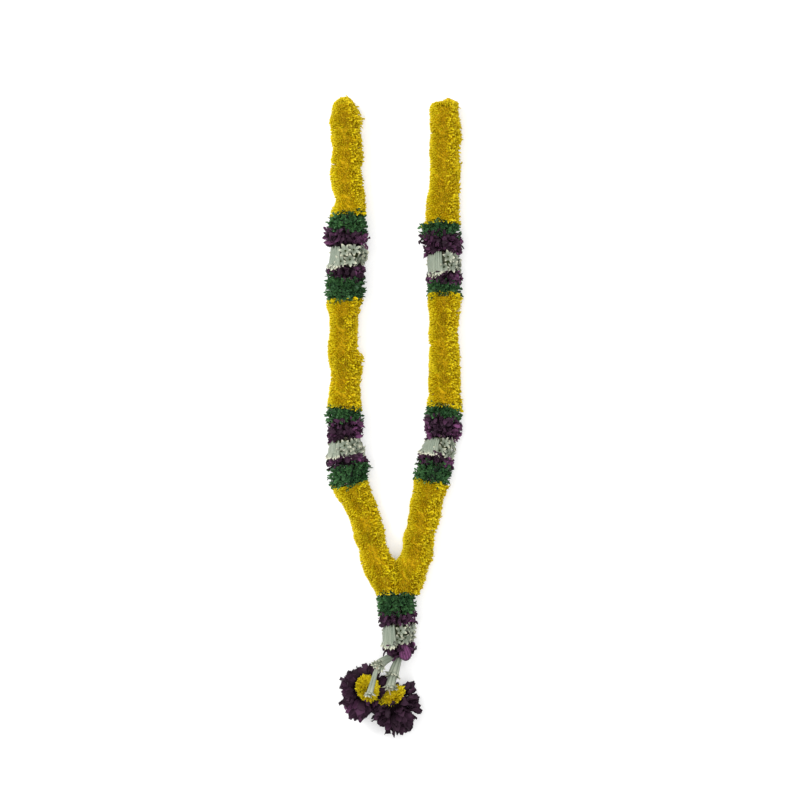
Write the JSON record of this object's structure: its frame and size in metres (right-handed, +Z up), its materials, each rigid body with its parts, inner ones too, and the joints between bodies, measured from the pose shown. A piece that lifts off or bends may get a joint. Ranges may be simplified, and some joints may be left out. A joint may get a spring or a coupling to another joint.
{
  "type": "chrysanthemum garland",
  "caption": "Long flower garland laid flat: two yellow chrysanthemum strands banded in green, purple and white, meeting in a V with a short pendant and two tassels.",
  "frame": {"origin": "middle of the garland's footprint, on the surface it lies on", "axes": "+Y from the tassels towards the free ends of the strands, +X from the left strand to the right one seen from above, +Z up off the surface"},
  "size_m": [0.222, 1.0226, 0.068],
  "materials": {
    "yellow_petals": "satin",
    "green_leaves": "satin",
    "purple_petals": "satin",
    "white_petals": "satin",
    "cord": "matte"
  },
  "bodies": {
    "root": {"left_cord": "cord", "left_yellow_top": "yellow_petals", "left_green_1": "green_leaves", "left_purple_1": "purple_petals", "left_white_1": "white_petals", "left_purple_2": "purple_petals", "left_green_2": "green_leaves", "left_yellow_middle": "yellow_petals", "left_green_3": "green_leaves", "left_purple_3": "purple_petals", "left_white_2": "white_petals", "left_purple_4": "purple_petals", "left_green_4": "green_leaves", "left_yellow_lower": "yellow_petals", "right_cord": "cord", "right_yellow_top": "yellow_petals", "right_green_1": "green_leaves", "right_purple_1": "purple_petals", "right_white_1": "white_petals", "right_purple_2": "purple_petals", "right_green_2": "green_leaves", "right_yellow_middle": "yellow_petals", "right_green_3": "green_leaves", "right_purple_3": "purple_petals", "right_white_2": "white_petals", "right_purple_4": "purple_petals", "right_green_4": "green_leaves", "right_yellow_lower": "yellow_petals", "pendant_green": "green_leaves", "pendant_purple_upper": "purple_petals", "pendant_white": "white_petals", "pendant_purple_lower": "purple_petals", "left_string": "white_petals", "left_thread": "cord", "left_tassel_yellow": "yellow_petals", "left_tassel_purple": "purple_petals", "right_string": "white_petals", "right_thread": "cord", "right_tassel_yellow": "yellow_petals", "right_tassel_purple": "purple_petals"}
  },
  "joints": []
}
